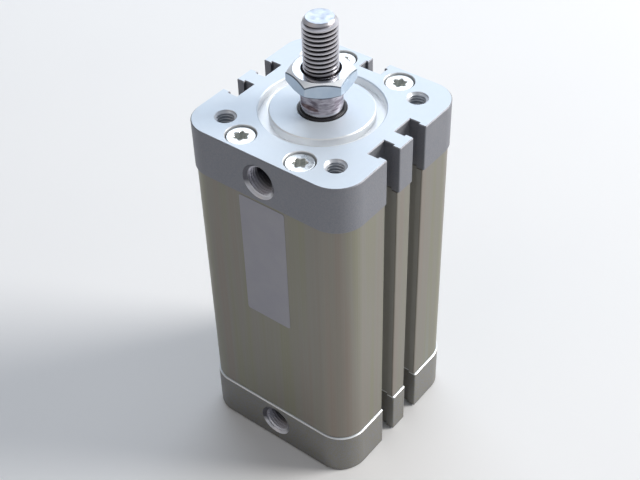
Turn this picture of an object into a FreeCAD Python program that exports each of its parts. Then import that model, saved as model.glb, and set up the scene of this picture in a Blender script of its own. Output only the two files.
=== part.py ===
"""Compact pneumatic cylinder, 40 mm bore and 70 mm stroke, with the rod retracted.

Millimetres. The origin is the middle of the rear face, +Z runs along the rod and -Y is the port face.
"""
import FreeCAD, Part
import math
import os

Vector = FreeCAD.Vector
AXIS_Y = Vector(0, 1, 0)
AXIS_Z = Vector(0, 0, 1)

# Body
bore = 40.0
stroke = 70.0
body_length = 45.0 + stroke
cap_width = 57.0
cap_corner = 9.0
cap_length = 15.25
tube_width = 56.0
tube_corner = 8.5

# Sensor slots: two on each side face, one on the back face
slot_mouth = 5.8
slot_inside = 7.2
slot_lip_from_axis = 25.9
slot_floor_from_axis = 22.8
slot_offset = 6.1

# Mounting threads M6 and cap screws M5
mount_pitch = 38.0
mount_drill = 5.0
mount_countersink = 6.8
screw_x = 10.2
screw_y = 22.9
screw_head = 8.4
screw_head_height = 5.0
screw_shank = 4.8
screw_length = 25.0
screw_socket = 4.4
screw_socket_depth = 2.6
screw_counterbore = 8.9
screw_sunk = 0.4
screw_clearance = 5.5
screw_core = 4.9

# Air ports G1/8
port_from_face = 8.25
port_drill = 8.6
port_depth = 11.0
port_countersink = 10.4
air_passage = 3.6
air_passage_from_axis = 13.2

# Spigots, pockets and static seals between the caps and the tube
spigot_radius = 19.95
spigot_length = 2.0
pocket_radius = 16.4
pocket_depth = 2.5
seal_step_radius = 21.6
seal_step_depth = 1.5
tube_o_ring_section = 1.46

# Front cap: ring-shaped recess, rod seal groove and bearing housing
recess_outer = 36.0
recess_inner = 30.0
recess_depth = 2.5
rod_exit_radius = 6.85
seal_groove_radius = 9.0
seal_groove_length = 5.0
seal_groove_from_face = 1.2
bush_radius = 7.5
bush_length = 9.8
housing_radius = 9.6
housing_end_gap = 0.2

# Rod
rod = 12.0
rod_projection = 7.0
thread = 10.0
thread_length = 22.0
thread_run_out = 9.2
thread_run_out_length = 6.2
thread_chamfer = 1.2
rod_edge = 0.5
wrench_flats = 10.0
wrench_flats_length = 4.5
wrench_flats_turn = -12.0
rod_spigot = 8.0
rod_spigot_short = 0.3
tapped_hole_spare = 1.0
drill_point_slope = 0.6

# Rod end nut, 17 mm across flats
nut_flats = 17.0
nut_height = 5.0
nut_lift = 1.1
nut_flat_direction = -50.0
nut_bore = 9.3
nut_countersink = 11.4
nut_face_diameter = 15.6

# Piston
piston_length = 10.0
piston_land = 39.6
piston_end_land = 0.7
piston_groove_radius = 16.4
piston_groove_width = 2.1
piston_boss_inner = 10.2
piston_boss_outer = 15.6
piston_boss_height = 2.6
piston_end_gap = 0.25
magnet_inner = 14.55
magnet_outer = 18.0
magnet_seat_width = 3.0
rod_seat_depth = 2.0
bolt_seat_depth = 2.5
bolt_recess_radius = 6.2
bolt_head = 9.4
bolt_head_height = 3.7
bolt_shank = 5.0
bolt_reach = 16.0
bolt_socket = 4.6
bolt_socket_depth = 2.4
piston_o_ring_groove = 5.3
piston_o_ring_width = 1.6
piston_o_ring_section = 1.2

# Lips of the moving seals
lip_width = 0.7
lip_groove_floor = 0.5
rod_seal_groove_depth = 1.8
piston_seal_groove_depth = 0.9
piston_seal_relief = 0.25
piston_seal_contact = 0.5
wiper_lip_height = 0.4
wiper_lip_width = 0.35
guide_ring_slit = 0.6

# Bumpers and label
bumper_inner = 10.4
bumper_thickness = 2.1
bumper_hole = 4.2
label_width = 16.0
label_length = 44.0
label_thickness = 0.15
label_corner = 0.8
label_below_front_face = 17.0

# Clearances
running_gap = 0.05
rod_gap = 0.03

# Heights that follow from the sizes above
front_face = body_length
tube_bottom = cap_length
tube_top = body_length - cap_length
piston_rear = tube_bottom + spigot_length + piston_end_gap
piston_middle = piston_rear + piston_length / 2
piston_front = piston_rear + piston_length
rod_seat = piston_front - rod_seat_depth
bolt_seat = piston_rear + bolt_seat_depth
rod_shoulder = front_face + rod_projection
rod_tip = rod_shoulder + thread_length
nut_bottom = rod_shoulder + nut_lift
seal_groove_top = front_face - seal_groove_from_face
seal_groove_bottom = seal_groove_top - seal_groove_length


def cylinder(radius, bottom, top, x=0.0, y=0.0):
    """Upright cylinder between two heights."""
    return Part.makeCylinder(radius, top - bottom, Vector(x, y, bottom), AXIS_Z)


def ring(inner, outer, bottom, top):
    """Plain upright ring."""
    return cylinder(outer, bottom, top).cut(cylinder(inner, bottom, top))


def revolved(profile):
    """Solid of revolution about the rod axis from a closed list of (radius, height) points."""
    points = [Vector(radius, 0, height) for radius, height in profile]
    face = Part.Face(Part.makePolygon(points + points[:1]))
    return face.revolve(Vector(0, 0, 0), AXIS_Z, 360)


def rounded_square(width, corner, bottom, height):
    """Square bar with rounded corners, drawn as four lines and four arcs."""
    return rounded_bar(width, width, corner, bottom, height)


def rounded_bar(width_x, width_y, corner, bottom, height):
    """Rectangular bar with rounded corners."""
    edges = []
    previous_end = None
    first_start = None
    for start_angle in (0, 90, 180, 270):
        middle_angle = math.radians(start_angle + 45)
        centre_x = math.copysign(width_x / 2 - corner, math.cos(middle_angle))
        centre_y = math.copysign(width_y / 2 - corner, math.sin(middle_angle))
        arc_points = []
        for angle in (start_angle, start_angle + 45, start_angle + 90):
            x = centre_x + corner * math.cos(math.radians(angle))
            y = centre_y + corner * math.sin(math.radians(angle))
            arc_points.append(Vector(x, y, bottom))
        if previous_end is None:
            first_start = arc_points[0]
        else:
            edges.append(Part.makeLine(previous_end, arc_points[0]))
        edges.append(Part.Arc(*arc_points).toShape())
        previous_end = arc_points[2]
    edges.append(Part.makeLine(previous_end, first_start))
    return Part.Face(Part.Wire(edges)).extrude(Vector(0, 0, height))


def slot_cutters():
    """T-shaped bars for the five sensor slots, long enough for the caps and the tube."""
    outside = cap_width
    half_mouth = slot_mouth / 2
    half_inside = slot_inside / 2
    upper_half = [
        (slot_floor_from_axis, half_inside),
        (slot_lip_from_axis, half_inside),
        (slot_lip_from_axis, half_mouth),
        (outside, half_mouth),
    ]
    lower_half = [(x, -y) for x, y in reversed(upper_half)]
    points = [Vector(x, y, 0) for x, y in upper_half + lower_half]
    face = Part.Face(Part.makePolygon(points + points[:1]))
    bar = face.extrude(Vector(0, 0, body_length))
    cutters = []
    places = [(0, slot_offset), (0, -slot_offset), (180, slot_offset), (180, -slot_offset), (90, 0)]
    for turn, offset in places:
        cutter = bar.copy()
        cutter.translate(Vector(0, offset, 0))
        cutter.rotate(Vector(0, 0, 0), AXIS_Z, turn)
        cutters.append(cutter)
    return cutters


def corners(x, y):
    """The four mirrored places of a point."""
    return [(x, y), (-x, y), (-x, -y), (x, -y)]


def flipped(shape):
    """The same shape at the other end of the body, still with its port to -Y."""
    other = shape.copy()
    other.rotate(Vector(0, 0, body_length / 2), AXIS_Y, 180)
    return other


def countersink(mouth_radius, hole_radius):
    """Upright 45 degree cone that opens downwards at height 0."""
    return Part.makeCone(mouth_radius, hole_radius, mouth_radius - hole_radius)


def plain_cap():
    """What both caps share, modelled as the rear cap with its outer face at height 0."""
    cap = rounded_square(cap_width, cap_corner, 0, cap_length)
    cap = cap.fuse(cylinder(spigot_radius, cap_length, cap_length + spigot_length))
    pocket_floor = cap_length - pocket_depth
    cuts = [cylinder(pocket_radius, pocket_floor, cap_length + spigot_length)]

    port_mouth = Vector(0, -cap_width / 2, port_from_face)
    port_end = Vector(0, port_depth - cap_width / 2, port_from_face)
    passage_end = cap_width / 2 - port_depth - air_passage_from_axis + air_passage / 2
    port_chamfer = countersink(port_countersink / 2, port_drill / 2)
    port_chamfer.rotate(Vector(0, 0, 0), Vector(1, 0, 0), -90)
    port_chamfer.translate(port_mouth)
    cuts.append(Part.makeCylinder(port_drill / 2, port_depth, port_mouth, AXIS_Y))
    cuts.append(port_chamfer)
    cuts.append(Part.makeCylinder(air_passage / 2, passage_end, port_end, AXIS_Y))
    cuts.append(cylinder(air_passage / 2, port_from_face, pocket_floor, 0, -air_passage_from_axis))

    for x, y in corners(mount_pitch / 2, mount_pitch / 2):
        chamfer = countersink(mount_countersink / 2, mount_drill / 2)
        chamfer.translate(Vector(x, y, 0))
        cuts.append(cylinder(mount_drill / 2, 0, cap_length, x, y))
        cuts.append(chamfer)
    for x, y in corners(screw_x, screw_y):
        cuts.append(cylinder(screw_clearance / 2, 0, cap_length, x, y))
        cuts.append(cylinder(screw_counterbore / 2, 0, screw_sunk + screw_head_height, x, y))
    return cap.cut(cuts + slot_cutters())


def front_cap():
    """Front cap: the shared cap turned over, with the rod bearing and the ring-shaped recess."""
    housing_top = tube_top + pocket_depth
    housing_bottom = seal_groove_bottom - housing_end_gap - bush_length - housing_end_gap
    cap = flipped(plain_cap())
    cap = cap.fuse(cylinder(housing_radius, housing_bottom, housing_top))
    cuts = [
        cylinder(bush_radius, housing_bottom, seal_groove_bottom),
        cylinder(seal_groove_radius, seal_groove_bottom, seal_groove_top),
        cylinder(rod_exit_radius, seal_groove_top, front_face),
        ring(recess_inner / 2, recess_outer / 2, front_face - recess_depth, front_face),
    ]
    return cap.cut(cuts)


def barrel_tube():
    """Extruded tube with its bore, screw cores, sensor slots and a step for the seal at each end."""
    tube = rounded_square(tube_width, tube_corner, tube_bottom, tube_top - tube_bottom)
    cuts = [cylinder(bore / 2, tube_bottom, tube_top)]
    cuts.append(cylinder(seal_step_radius, tube_bottom, tube_bottom + seal_step_depth))
    cuts.append(cylinder(seal_step_radius, tube_top - seal_step_depth, tube_top))
    for x, y in corners(screw_x, screw_y):
        cuts.append(cylinder(screw_core / 2, tube_bottom, tube_top, x, y))
    return tube.cut(cuts + slot_cutters())


def rear_cap_screws():
    """Four cap screws with their heads sunk in the rear face."""
    head_top = screw_sunk + screw_head_height
    screws = []
    for x, y in corners(screw_x, screw_y):
        screw = cylinder(screw_head / 2, screw_sunk, head_top, x, y)
        screw = screw.fuse(cylinder(screw_shank / 2, head_top, head_top + screw_length, x, y))
        socket = cylinder(screw_socket / 2, screw_sunk, screw_sunk + screw_socket_depth, x, y)
        screws.append(screw.cut(socket))
    return Part.makeCompound(screws)


def o_ring(middle_radius, middle_height, section):
    """Round seal ring, its section drawn with eight sides."""
    profile = []
    for side in range(8):
        angle = math.radians(45 * side + 22.5)
        radius = middle_radius + section / 2 * math.cos(angle)
        height = middle_height + section / 2 * math.sin(angle)
        profile.append((radius, height))
    return revolved(profile)


def rear_tube_o_ring():
    """Static seal between the spigot of the rear cap and the step in the tube."""
    middle_radius = (spigot_radius + seal_step_radius) / 2
    return o_ring(middle_radius, tube_bottom + seal_step_depth / 2, tube_o_ring_section)


def rear_bumper():
    """Rubber ring in the pocket of the rear cap, with holes that let the air through."""
    bottom = cap_length - pocket_depth
    bumper = ring(bumper_inner, pocket_radius - running_gap, bottom, bottom + bumper_thickness)
    holes = []
    for x, y in ((1, 0), (0, 1), (-1, 0), (0, -1)):
        centre_x = x * air_passage_from_axis
        centre_y = y * air_passage_from_axis
        holes.append(cylinder(bumper_hole / 2, bottom, bottom + bumper_thickness, centre_x, centre_y))
    return bumper.cut(holes)


def rod_guide_bush():
    """Plain bearing bush pressed into the front cap."""
    top = seal_groove_bottom - housing_end_gap
    bottom = top - bush_length
    inner = rod / 2 + rod_gap
    outer = bush_radius
    return revolved([
        (inner, bottom), (outer - rod_edge, bottom), (outer, bottom + rod_edge), (outer, top), (inner, top),
    ])


def two_lips(inner, outer, bottom, groove_depth):
    """Underside of a lip seal: an inner lip, the groove that the pressure opens, and an outer lip."""
    middle = (inner + outer) / 2
    floor = bottom + groove_depth
    return [
        (inner, bottom), (inner + lip_width, bottom), (middle - lip_groove_floor / 2, floor),
        (middle + lip_groove_floor / 2, floor), (outer - lip_width, bottom), (outer, bottom),
    ]


def rod_wiper_seal():
    """Rod seal with a groove towards the pressure and a wiping lip that stands out of the front face."""
    inner = rod / 2 + rod_gap
    outer = seal_groove_radius - running_gap
    neck = rod_exit_radius - running_gap
    lip_top = front_face + wiper_lip_height
    lips = two_lips(inner, outer, seal_groove_bottom, rod_seal_groove_depth)
    return revolved(lips + [
        (outer, seal_groove_top), (neck, seal_groove_top), (neck, front_face),
        (inner + wiper_lip_width, lip_top), (inner, lip_top),
    ])


def piston_rod():
    """Rod with the male thread on its front end and a stepped, tapped rear end for the piston."""
    thread_radius = thread / 2
    run_out_top = rod_shoulder + thread_run_out_length
    spigot_end = bolt_seat + rod_spigot_short
    drill_radius = bolt_shank / 2 + running_gap
    drill_top = bolt_seat + bolt_reach + tapped_hole_spare
    shape = revolved([
        (0, rod_tip), (thread_radius - thread_chamfer, rod_tip), (thread_radius, rod_tip - thread_chamfer),
        (thread_radius, run_out_top), (thread_run_out / 2, run_out_top), (thread_run_out / 2, rod_shoulder),
        (rod / 2 - rod_edge, rod_shoulder), (rod / 2, rod_shoulder - rod_edge), (rod / 2, rod_seat),
        (rod_spigot / 2, rod_seat), (rod_spigot / 2, spigot_end), (drill_radius, spigot_end),
        (drill_radius, drill_top), (0, drill_top + drill_radius * drill_point_slope),
    ])
    flats = []
    for side in (0, 180):
        block = Part.makeBox(rod, rod, wrench_flats_length)
        block.translate(Vector(-rod / 2, -wrench_flats / 2 - rod, rod_shoulder - wrench_flats_length))
        block.rotate(Vector(0, 0, 0), AXIS_Z, wrench_flats_turn + side)
        flats.append(block)
    return shape.cut(flats)


def rod_end_nut():
    """Thin hexagon nut with both edges chamfered to a round face."""
    corner_radius = nut_flats / 2 / math.cos(math.radians(30))
    nut_top = nut_bottom + nut_height
    points = []
    for corner in range(6):
        angle = math.radians(nut_flat_direction + 30 + 60 * corner)
        points.append(Vector(corner_radius * math.cos(angle), corner_radius * math.sin(angle), nut_bottom))
    hexagon = Part.Face(Part.makePolygon(points + points[:1])).extrude(Vector(0, 0, nut_height))
    face_radius = nut_face_diameter / 2
    drop = (corner_radius - face_radius) * math.tan(math.radians(30))
    turned = revolved([
        (0, nut_bottom), (face_radius, nut_bottom), (corner_radius, nut_bottom + drop),
        (corner_radius, nut_top - drop), (face_radius, nut_top), (0, nut_top),
    ])
    bore_radius = nut_bore / 2
    sink_radius = nut_countersink / 2
    sink = sink_radius - bore_radius
    hole = revolved([
        (0, nut_bottom), (sink_radius, nut_bottom), (bore_radius, nut_bottom + sink),
        (bore_radius, nut_top - sink), (sink_radius, nut_top), (0, nut_top),
    ])
    return hexagon.common(turned).cut(hole)


def mirrored_heights(profile):
    """A profile turned end for end about the middle plane of the piston."""
    return [(radius, 2 * piston_middle - height) for radius, height in profile]


def piston_rim():
    """Outline of the rear half from its boss round the seal groove to the magnet seat."""
    groove_bottom = piston_rear + piston_end_land
    groove_top = groove_bottom + piston_groove_width
    land = piston_land / 2
    boss_end = piston_rear - piston_boss_height
    magnet_bottom = piston_middle - magnet_seat_width / 2
    return [
        (piston_boss_inner, piston_rear), (piston_boss_inner, boss_end), (piston_boss_outer, boss_end),
        (piston_boss_outer, piston_rear), (land, piston_rear), (land, groove_bottom),
        (piston_groove_radius, groove_bottom), (piston_groove_radius, groove_top), (land, groove_top),
        (land, magnet_bottom), (magnet_inner - running_gap, magnet_bottom),
        (magnet_inner - running_gap, piston_middle),
    ]


def piston_rear_half():
    """Rear half, with a recess for the head of the piston bolt."""
    hub = rod_spigot / 2 + rod_gap
    recess = bolt_recess_radius
    centre = [(hub, piston_middle), (hub, bolt_seat), (recess, bolt_seat), (recess, piston_rear)]
    return revolved(centre + piston_rim())


def piston_front_half():
    """Front half, with the seat of the rod shoulder and the groove for the static seal."""
    hub = rod_spigot / 2 + rod_gap
    seat = rod / 2 + rod_gap
    groove_bottom = piston_middle + piston_o_ring_width / 2
    groove_top = groove_bottom + piston_o_ring_width
    centre = [
        (hub, piston_middle), (hub, groove_bottom), (piston_o_ring_groove, groove_bottom),
        (piston_o_ring_groove, groove_top), (hub, groove_top), (hub, rod_seat), (seat, rod_seat),
        (seat, piston_front),
    ]
    return revolved(centre + mirrored_heights(piston_rim()))


def piston_seal_profile():
    """Lip seal of the rear groove, open towards the rear chamber."""
    inner = piston_groove_radius + running_gap
    outer = bore / 2 - running_gap
    bottom = piston_rear + piston_end_land + running_gap
    top = bottom + piston_groove_width - 2 * running_gap
    back = [(outer, bottom + piston_seal_contact), (outer - piston_seal_relief, top), (inner, top)]
    return two_lips(inner, outer, bottom, piston_seal_groove_depth) + back


def piston_guide_ring():
    """Slit wear ring round the magnet."""
    half_width = magnet_seat_width / 2 - running_gap
    low = piston_middle - half_width
    high = piston_middle + half_width
    band = ring(magnet_outer + running_gap, bore / 2 - running_gap, low, high)
    slit = Part.makeBox(bore, guide_ring_slit, 2 * half_width, Vector(0, 0, low))
    return band.cut(slit)


def piston_magnet_ring():
    """Magnet ring clamped between the piston halves."""
    half_width = magnet_seat_width / 2
    return ring(magnet_inner, magnet_outer, piston_middle - half_width, piston_middle + half_width)


def piston_bolt():
    """Low cap screw that clamps the piston on the rod."""
    head_bottom = bolt_seat - bolt_head_height
    bolt = cylinder(bolt_head / 2, head_bottom, bolt_seat)
    bolt = bolt.fuse(cylinder(bolt_shank / 2, bolt_seat, bolt_seat + bolt_reach))
    return bolt.cut(cylinder(bolt_socket / 2, head_bottom, head_bottom + bolt_socket_depth))


def piston_o_ring():
    """Static seal round the rear end of the rod."""
    middle_radius = (rod_spigot / 2 + piston_o_ring_groove) / 2
    return o_ring(middle_radius, piston_middle + piston_o_ring_width, piston_o_ring_section)


def name_label():
    """Sticker on the port face of the tube, below the front port."""
    label = rounded_bar(label_width, label_length, label_corner, 0, label_thickness)
    label.rotate(Vector(0, 0, 0), Vector(1, 0, 0), 90)
    middle_height = front_face - label_below_front_face - label_length / 2
    label.translate(Vector(0, -tube_width / 2, middle_height))
    return label


nodes = {
    "barrel_tube": barrel_tube(),
    "front_cap": front_cap(),
    "rear_cap": plain_cap(),
    "front_cap_screws": flipped(rear_cap_screws()),
    "rear_cap_screws": rear_cap_screws(),
    "front_tube_o_ring": flipped(rear_tube_o_ring()),
    "rear_tube_o_ring": rear_tube_o_ring(),
    "front_bumper": flipped(rear_bumper()),
    "rear_bumper": rear_bumper(),
    "rod_guide_bush": rod_guide_bush(),
    "rod_wiper_seal": rod_wiper_seal(),
    "name_label": name_label(),
    "piston_rod": piston_rod(),
    "rod_end_nut": rod_end_nut(),
    "piston_front_half": piston_front_half(),
    "piston_rear_half": piston_rear_half(),
    "piston_seal_front": revolved(mirrored_heights(piston_seal_profile())),
    "piston_seal_rear": revolved(piston_seal_profile()),
    "piston_guide_ring": piston_guide_ring(),
    "piston_magnet_ring": piston_magnet_ring(),
    "piston_bolt": piston_bolt(),
    "piston_o_ring": piston_o_ring(),
}

os.makedirs("parts", exist_ok=True)
for name, shape in nodes.items():
    shape.exportStep("parts/" + name + ".step")
    print(name, len(shape.Solids), "solid", round(shape.Volume, 1), "mm3", shape.isValid())
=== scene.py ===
"""Compact pneumatic cylinder with a 40 mm bore: the looks of every piece, the stage and the camera."""
import math

import bmesh
import bpy
from mathutils import Matrix, Vector
from mathutils.geometry import delaunay_2d_cdt


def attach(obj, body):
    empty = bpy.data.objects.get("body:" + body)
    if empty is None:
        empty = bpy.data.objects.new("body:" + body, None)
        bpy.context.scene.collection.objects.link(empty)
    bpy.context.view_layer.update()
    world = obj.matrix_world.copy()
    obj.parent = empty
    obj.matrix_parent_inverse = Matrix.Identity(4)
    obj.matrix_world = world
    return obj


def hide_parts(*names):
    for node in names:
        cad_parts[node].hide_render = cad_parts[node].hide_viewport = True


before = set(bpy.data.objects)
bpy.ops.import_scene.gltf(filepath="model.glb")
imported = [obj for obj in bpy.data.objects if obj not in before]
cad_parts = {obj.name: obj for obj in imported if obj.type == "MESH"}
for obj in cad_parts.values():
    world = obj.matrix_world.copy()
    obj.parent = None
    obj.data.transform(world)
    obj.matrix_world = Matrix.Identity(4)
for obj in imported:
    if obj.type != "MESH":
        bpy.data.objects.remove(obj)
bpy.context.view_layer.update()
scene = bpy.context.scene
scene.view_settings.view_transform = "Standard"


# Camera: it looks down on the front right corner of the body through a moderate telephoto lens,
# as the photograph does. The image is taken to be 640 by 480 pixels.
image_width, image_height = 640, 480
sensor_mm = 36.0
focal_pixels = 1186.784
azimuth, elevation, roll = math.radians(38.746), math.radians(41.515), math.radians(-1.793)
aim_point = Vector((0, 0, 0.0575))
aim_pixel = (326.321, 259.915)
aim_distance = 0.367377

back = Vector((
    math.sin(azimuth) * math.cos(elevation),
    -math.cos(azimuth) * math.cos(elevation),
    math.sin(elevation),
))
level_right = Vector((math.cos(azimuth), math.sin(azimuth), 0))
level_up = back.cross(level_right)
right = level_right * math.cos(roll) + level_up * math.sin(roll)
up = level_up * math.cos(roll) - level_right * math.sin(roll)
pixel_size = aim_distance / focal_pixels
aside = (aim_pixel[0] - image_width / 2) * pixel_size
above = (image_height / 2 - aim_pixel[1]) * pixel_size
eye = aim_point + back * aim_distance - right * aside - up * above

camera_data = bpy.data.cameras.new("camera")
camera_data.sensor_width = sensor_mm
camera_data.lens = focal_pixels * sensor_mm / image_width
camera_data.clip_start = 0.02
camera = bpy.data.objects.new("camera", camera_data)
camera.matrix_world = Matrix((
    (right.x, up.x, back.x, eye.x),
    (right.y, up.y, back.y, eye.y),
    (right.z, up.z, back.z, eye.z),
    (0, 0, 0, 1),
))
scene.collection.objects.link(camera)
scene.camera = camera


# Floor: a plain pale studio sheet, matt painted, that the cylinder stands on.
# It is the whole background, because the camera looks down.
floor_size = 6.0
floor_gap = 0.0002
clouds_per_metre = 6.0


def linear(hex_colour):
    """Linear colour of an sRGB hex value."""
    channels = []
    for start in (0, 2, 4):
        value = int(hex_colour[start:start + 2], 16) / 255
        if value <= 0.04045:
            channels.append(value / 12.92)
        else:
            channels.append(((value + 0.055) / 1.055) ** 2.4)
    return (*channels, 1.0)


def add_node(tree, kind, inputs=None, **settings):
    """Adds a node, applies its settings, then sets or links its inputs."""
    node = tree.nodes.new(kind)
    for name, value in settings.items():
        setattr(node, name, value)
    for socket, value in (inputs or {}).items():
        if isinstance(value, bpy.types.NodeSocket):
            tree.links.new(value, node.inputs[socket])
        else:
            node.inputs[socket].default_value = value
    return node


def new_material(name, **surface):
    """Material with a Principled surface, its node tree and that shader."""
    material = bpy.data.materials.new(name)
    material.use_nodes = True
    shader = material.node_tree.nodes["Principled BSDF"]
    for socket, value in surface.items():
        shader.inputs[socket].default_value = value
    return material, material.node_tree, shader


# Painted board: even and pale, with a barely visible cloudiness.
floor_paint, tree, shader = new_material("matt_white_paint", Roughness=0.85)
place = add_node(tree, "ShaderNodeTexCoord").outputs["Object"]
cloud = add_node(
    tree, "ShaderNodeTexNoise", {"Vector": place, "Scale": clouds_per_metre, "Detail": 3.0},
)
tint = add_node(
    tree, "ShaderNodeMix",
    {0: cloud.outputs["Fac"], 6: linear("eeeff1"), 7: linear("f4f5f6")},
    data_type="RGBA",
)
tree.links.new(tint.outputs[2], shader.inputs["Base Color"])

sheet = bmesh.new()
bmesh.ops.create_grid(sheet, x_segments=8, y_segments=8, size=floor_size / 2)
bmesh.ops.translate(sheet, verts=sheet.verts, vec=(0, 0, -floor_gap))
floor_mesh = bpy.data.meshes.new("floor")
sheet.to_mesh(floor_mesh)
sheet.free()
floor_mesh.materials.append(floor_paint)
floor = bpy.data.objects.new("floor", floor_mesh)
scene.collection.objects.link(floor)


# Studio light: a large soft lamp to the right, a soft box behind and to the left that the faced metal
# mirrors, dim panels in front and behind, and a pale room, brightest overhead, that lights the matt
# surfaces only dimly. Each lamp has its place and width in metres, its watts and its colour.
lamps = {
    "key_lamp": ((1.46, 1.30, 0.98), 1.0, 51.0, "fdf9f4"),
    "top_soft_box": ((-0.48, 0.65, 0.75), 1.2, 5.7, "e8f1fb"),
    "front_top_panel": ((-0.10, -0.72, 1.10), 0.62, 0.9, "fff2e0"),
    "left_panel": ((-0.62, -0.86, 0.80), 0.7, 0.4, "ffd8ac"),
    "back_panel": ((0.06, 1.15, 0.50), 0.6, 0.8, "f6f8fb"),
}
lamp_target = Vector((0, 0, 0.08))
for name, (spot, size, power, colour) in lamps.items():
    lamp_data = bpy.data.lights.new(name, "AREA")
    lamp_data.shape = "DISK"
    lamp_data.size = size
    lamp_data.energy = power
    lamp_data.color = linear(colour)[:3]
    lamp = bpy.data.objects.new(name, lamp_data)
    lamp.location = spot
    lamp.rotation_mode = "QUATERNION"
    lamp.rotation_quaternion = (lamp_target - Vector(spot)).to_track_quat("-Z", "Y")
    scene.collection.objects.link(lamp)

pale_room = 0.62
ceiling_edge, ceiling_middle = 0.84, 0.98
wall_strength, ceiling_strength = 0.10, 1.75
world = bpy.data.worlds.new("studio_room")
world.use_nodes = True
room = world.node_tree
room.nodes["Background"].inputs["Color"].default_value = linear("c9ced6")
direction = add_node(room, "ShaderNodeTexCoord").outputs["Generated"]
upward = add_node(room, "ShaderNodeSeparateXYZ", {0: direction}).outputs["Z"]
ceiling = add_node(room, "ShaderNodeMapRange", {
    "Value": upward, "From Min": ceiling_edge, "From Max": ceiling_middle,
    "To Min": wall_strength, "To Max": ceiling_strength,
})
ray = add_node(room, "ShaderNodeLightPath").outputs
seen = ray["Is Camera Ray"]
for kind in ("Is Glossy Ray", "Is Transmission Ray"):
    seen = add_node(room, "ShaderNodeMath", {0: seen, 1: ray[kind]}, operation="MAXIMUM").outputs[0]
shown = add_node(room, "ShaderNodeMath", {0: seen, 1: pale_room}, operation="MULTIPLY")
strength = add_node(
    room, "ShaderNodeMath", {0: ceiling.outputs[0], 1: shown.outputs[0]}, operation="MAXIMUM",
)
room.links.new(strength.outputs[0], room.nodes["Background"].inputs["Strength"])
scene.world = world


# Barrel tube: aluminium profile with a round bore, four screw cores and five T-slots for sensors.
# It is extruded, cut to length, bored and clear anodised, and stands between the two caps.
MM = 0.001
body_length = 115.0
cap_length = 15.25
tube_half = 28.0
tube_corner = 8.5
tube_edge = 0.15
bore_radius = 20.0
seal_step_radius = 21.6
seal_step_depth = 1.5
screw_x, screw_y = 10.2, 22.9
screw_core = 2.45
slot_offset = 6.1
slot_mouth = 2.9
slot_inside = 3.6
slot_lip = 25.9
slot_floor = 22.8
slot_rounding = 0.45
slot_wall_end = 27.3
rounding_steps = 3
corner_steps = 14
bore_sides = 96
hole_sides = 32


def outline(half, corner, inset):
    """Rounded square with its slots, moved into the metal by inset; it starts and ends at the port face."""
    pair = (-slot_offset, slot_offset)
    points = []
    for face, slots in ((0, pair), (90, (0,)), (180, pair), (270, ())):
        local = []
        for middle in slots:
            cut = []
            for step in range(rounding_steps + 1):
                angle = math.radians(90 * step / rounding_steps)
                reach = slot_rounding - inset
                cut.append((
                    half - slot_rounding + reach * math.cos(angle),
                    -slot_mouth - slot_rounding + reach * math.sin(angle),
                ))
            cut.append((slot_lip + inset, -slot_mouth - inset))
            cut.append((slot_lip + inset, -slot_inside - inset))
            cut.append((slot_floor - inset, -slot_inside - inset))
            cut += [(out, -along) for out, along in reversed(cut)]
            local += [(out, along + middle) for out, along in cut]
        for step in range(corner_steps + 1):
            angle = math.radians(90 * step / corner_steps)
            local.append((
                half - corner + (corner - inset) * math.cos(angle),
                half - corner + (corner - inset) * math.sin(angle),
            ))
        turn = math.radians(face)
        for out, along in local:
            points.append((
                out * math.cos(turn) - along * math.sin(turn),
                out * math.sin(turn) + along * math.cos(turn),
            ))
    last_corner = points[-corner_steps - 1:]
    return last_corner + points[:-corner_steps - 1]


def circle(radius, sides, x=0.0, y=0.0):
    """Points of a circle, from +X towards +Y."""
    points = []
    for side in range(sides):
        angle = 2 * math.pi * side / sides
        points.append((x + radius * math.cos(angle), y + radius * math.sin(angle)))
    return points


def at_height(loop, z):
    """A flat loop lifted to a height."""
    return [(x, y, z) for x, y in loop]


def add_walls(mesh, loops, closing=True, slot=0):
    """Joins loops of equally many points, one after the other, with four-sided faces."""
    rings = [[mesh.verts.new(point) for point in loop] for loop in loops]
    for low, high in zip(rings, rings[1:]):
        count = len(low) if closing else len(low) - 1
        for here in range(count):
            after = (here + 1) % len(low)
            face = mesh.faces.new((low[here], low[after], high[after], high[here]))
            face.material_index = slot


def is_inside(point, loop):
    """Whether a flat point lies inside a loop."""
    inside = False
    for (x1, y1), (x2, y2) in zip(loop, loop[1:] + loop[:1]):
        if (y1 > point.y) != (y2 > point.y) and point.x < x1 + (point.y - y1) * (x2 - x1) / (y2 - y1):
            inside = not inside
    return inside


def add_flat(mesh, loops, lift, slot=0):
    """Fills the flat area inside the first loop and outside the others; lift gives a point its place."""
    points = []
    edges = []
    for loop in loops:
        first = len(points)
        points += [Vector(point) for point in loop]
        edges += [(first + here, first + (here + 1) % len(loop)) for here in range(len(loop))]
    flat_points, _, triangles, _, _, _ = delaunay_2d_cdt(points, edges, [], 1, 1e-6)
    corners = [mesh.verts.new(lift(x, y)) for x, y in flat_points]
    for triangle in triangles:
        middle = sum((flat_points[index] for index in triangle), Vector((0, 0))) / 3
        if sum(is_inside(middle, loop) for loop in loops) == 1:
            face = mesh.faces.new([corners[index] for index in triangle])
            face.material_index = slot


def add_turned(mesh, profile, sides, slot=0):
    """Surface of revolution from (radius, height) points."""
    add_walls(mesh, [at_height(circle(radius, sides), z) for radius, z in profile], slot=slot)


def four_places(x, y):
    """The four mirrored places of a point."""
    return ((x, y), (-x, y), (-x, -y), (x, -y))


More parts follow.
